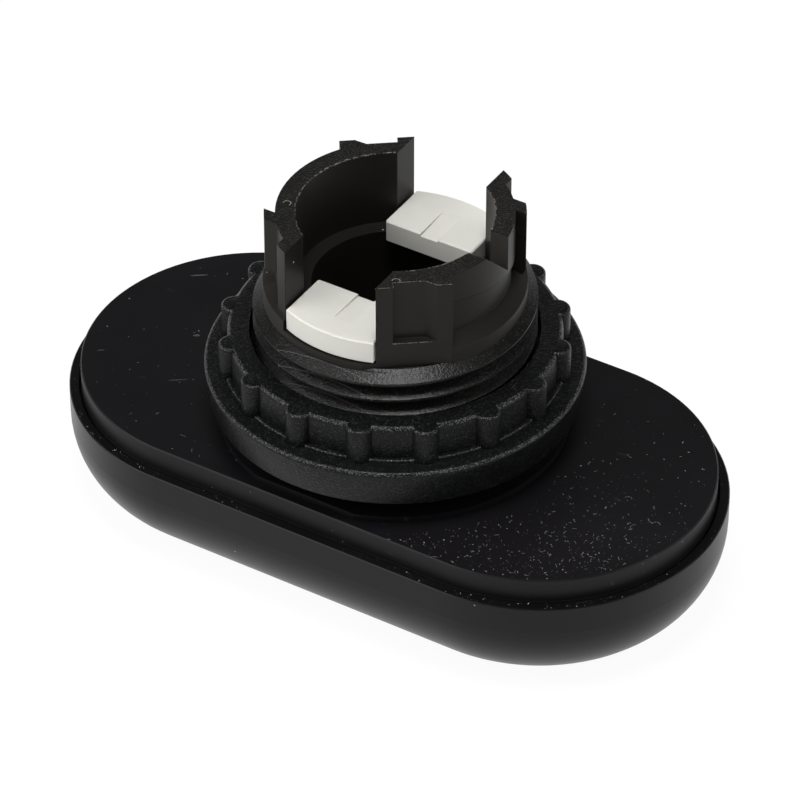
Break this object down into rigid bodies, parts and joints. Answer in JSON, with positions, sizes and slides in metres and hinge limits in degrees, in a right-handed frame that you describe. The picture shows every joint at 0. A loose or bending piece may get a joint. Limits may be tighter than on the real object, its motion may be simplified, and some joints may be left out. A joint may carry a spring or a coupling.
{
  "type": "double push-button head",
  "caption": "Double momentary push-button head for a round panel hole: stadium bezel, threaded collar with ring nut, coupling prongs and sprung plungers at the rear.",
  "frame": {"origin": "on the collar's axis, in the plane where the panel meets the gasket", "axes": "+Z along the collar to the rear, away from the buttons; +X along the long side of the bezel"},
  "size_m": [0.0558, 0.0298, 0.03],
  "materials": {
    "bezel_plastic": "fine matte moulded",
    "gasket_rubber": "smooth, dusty",
    "collar_plastic": "satin moulded",
    "nut_plastic": "coarse spark-eroded texture",
    "plunger_plastic": "satin moulded",
    "green_cap_plastic": "satin moulded",
    "red_cap_plastic": "satin moulded",
    "slider_plastic": "satin moulded",
    "lens_plastic": "polished, translucent",
    "seal_rubber": "smooth",
    "spring_steel": "drawn wire"
  },
  "bodies": {
    "housing": {"front_bezel": "bezel_plastic", "panel_gasket": "gasket_rubber", "collar_body": "collar_plastic", "centre_lens": "lens_plastic", "lens_seal": "seal_rubber"},
    "nut": {"ring_nut": "nut_plastic"},
    "right_button": {"right_button_cap": "green_cap_plastic", "right_slider": "slider_plastic", "right_button_seal": "seal_rubber", "near_plunger": "plunger_plastic", "right_near_spring": "spring_steel", "right_far_spring": "spring_steel"},
    "left_button": {"left_button_cap": "red_cap_plastic", "left_slider": "slider_plastic", "left_button_seal": "seal_rubber", "far_plunger": "plunger_plastic", "left_near_spring": "spring_steel", "left_far_spring": "spring_steel"}
  },
  "joints": [
    {"name": "right_press", "type": "slide", "parent": "housing", "child": "right_button", "axis": [0, 0, 1], "range_m": [0, 0.004], "stiffness_N_per_m": 900, "springref_m": -0.0025, "deforming": ["right_near_spring", "right_far_spring"]},
    {"name": "left_press", "type": "slide", "parent": "housing", "child": "left_button", "axis": [0, 0, 1], "range_m": [0, 0.004], "stiffness_N_per_m": 900, "springref_m": -0.0025, "deforming": ["left_near_spring", "left_far_spring"]},
    {"name": "nut_turn", "type": "hinge", "parent": "housing", "child": "nut", "pos_m": [0, 0, 0], "axis": [0, 0, 1], "continuous": true}
  ]
}
